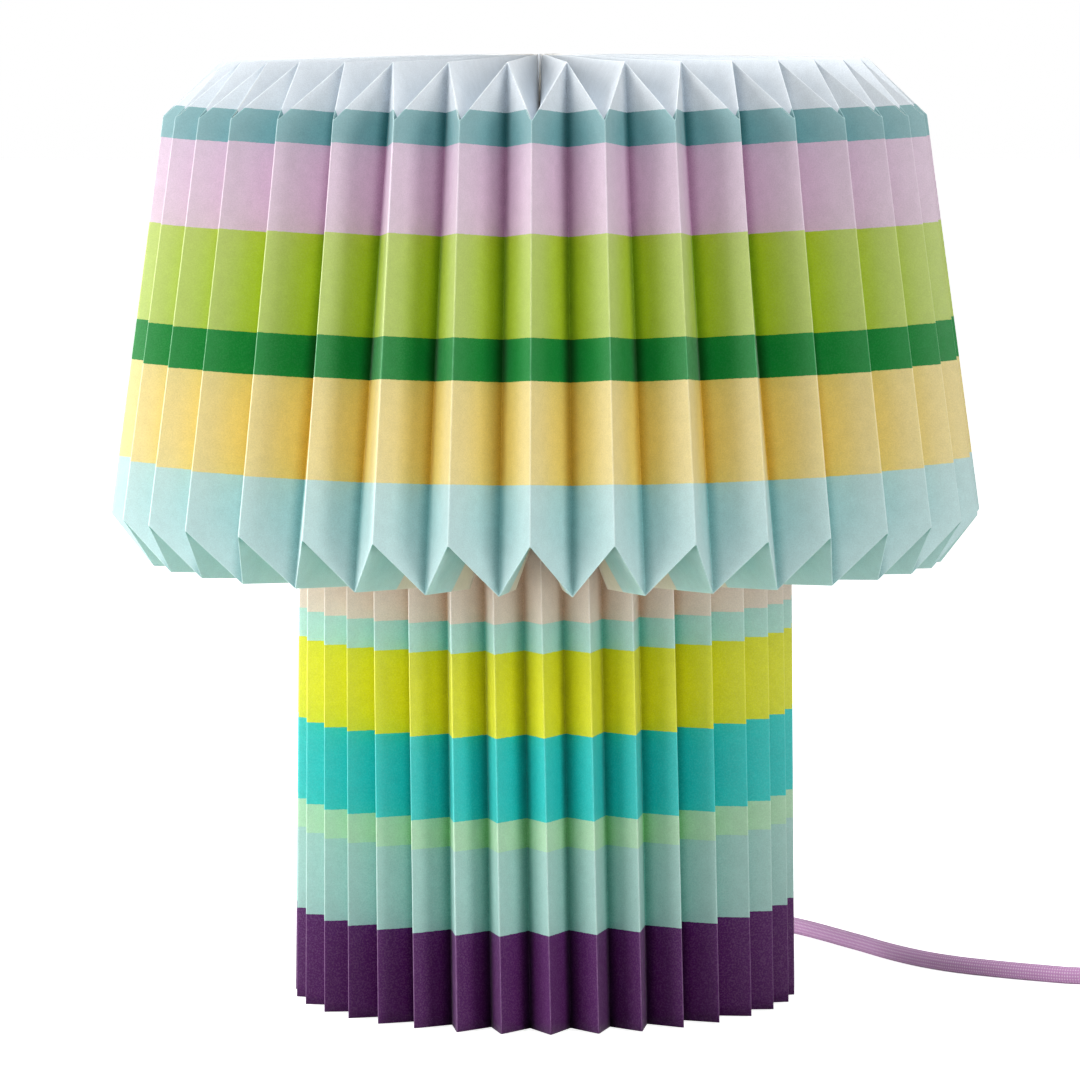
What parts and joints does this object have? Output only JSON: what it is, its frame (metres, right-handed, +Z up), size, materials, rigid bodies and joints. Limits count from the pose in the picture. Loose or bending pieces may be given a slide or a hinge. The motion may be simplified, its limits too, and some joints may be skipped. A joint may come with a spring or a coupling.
{
  "type": "pleated paper table lamp",
  "caption": "Table lamp with a wide pleated paper shade that lifts off a pleated paper drum base, a screw-in bulb, and a textile mains lead with an inline rocker switch and a plug.",
  "frame": {"origin": "on the lamp's axis, in the plane that the lamp stands on", "axes": "+Z up along the lamp's axis; -Y is the front; the mains lead leaves the base at the rear, +Y, and its coil lies on the +X side"},
  "size_m": [0.5149, 0.3104, 0.325],
  "materials": {
    "shade_paper": "matt printed stock",
    "base_paper": "matt printed stock",
    "frame_wire": "satin white powder coat",
    "pin_steel": "satin",
    "plate_steel": "black textured powder coat",
    "foot_rubber": "matt",
    "stem_steel": "zinc plated",
    "screw_steel": "zinc plated",
    "disc_steel": "satin white powder coat",
    "holder_plastic": "glossy thermoset",
    "holder_ceramic": "glazed",
    "holder_brass": "plain",
    "clamp_plastic": "matt",
    "relief_rubber": "matt",
    "textile_cord": "braided textile",
    "bulb_metal": "satin",
    "bulb_insulator": "gloss",
    "bulb_plastic": "gloss",
    "bulb_diffuser": "frosted",
    "led_white": "matt",
    "switch_plastic": "satin",
    "rocker_plastic": "gloss",
    "tie_strap": "woven hook and loop",
    "plug_plastic": "satin",
    "plug_metal": "nickel plated"
  },
  "bodies": {
    "root": {"base_paper": "base_paper", "base_plate": "plate_steel", "rubber_feet": "foot_rubber", "stem_flange": "stem_steel", "flange_screws": "screw_steel", "stem_tube": "stem_steel", "base_top_disc": "disc_steel", "clamp_ring_lower": "holder_plastic", "clamp_ring_upper": "holder_plastic", "holder_cap": "holder_plastic", "holder_shell": "holder_plastic", "holder_insert": "holder_ceramic", "holder_thread": "holder_brass", "holder_contact": "holder_brass", "cord_clamp": "clamp_plastic", "clamp_screws": "screw_steel", "strain_relief": "relief_rubber", "inner_cord": "textile_cord", "cord_run": "textile_cord", "switch_base": "switch_plastic", "switch_cover": "switch_plastic", "switch_screws": "screw_steel", "cord_link": "textile_cord", "cord_coil": "textile_cord", "coil_tie": "tie_strap", "cord_tail": "textile_cord", "plug_body": "plug_plastic", "plug_pins": "plug_metal"},
    "shade": {"shade_top_collar": "shade_paper", "shade_side": "shade_paper", "shade_low_collar": "shade_paper", "frame_hub": "frame_wire", "frame_pins": "pin_steel", "frame_uprights": "frame_wire", "frame_top_ring": "frame_wire", "frame_arms": "frame_wire", "frame_low_ring": "frame_wire"},
    "bulb": {"bulb_cap": "bulb_metal", "bulb_contact": "bulb_insulator", "bulb_body": "bulb_plastic", "bulb_globe": "bulb_diffuser", "led_board": "led_white"},
    "rocker": {"switch_rocker": "rocker_plastic"}
  },
  "joints": [
    {"name": "shade_lift", "type": "slide", "parent": "root", "child": "shade", "axis": [0, 0, 1], "range_m": [0, 0.15]},
    {"name": "bulb_unscrew", "type": "hinge", "parent": "root", "child": "bulb", "pos_m": [0, 0, 0.16], "axis": [0, 0, 1], "range_deg": [0, 1080]},
    {"name": "switch_rock", "type": "hinge", "parent": "root", "child": "rocker", "pos_m": [0.238, 0.01, 0.0145], "axis": [0, -1, 0], "range_deg": [0, 14]}
  ]
}
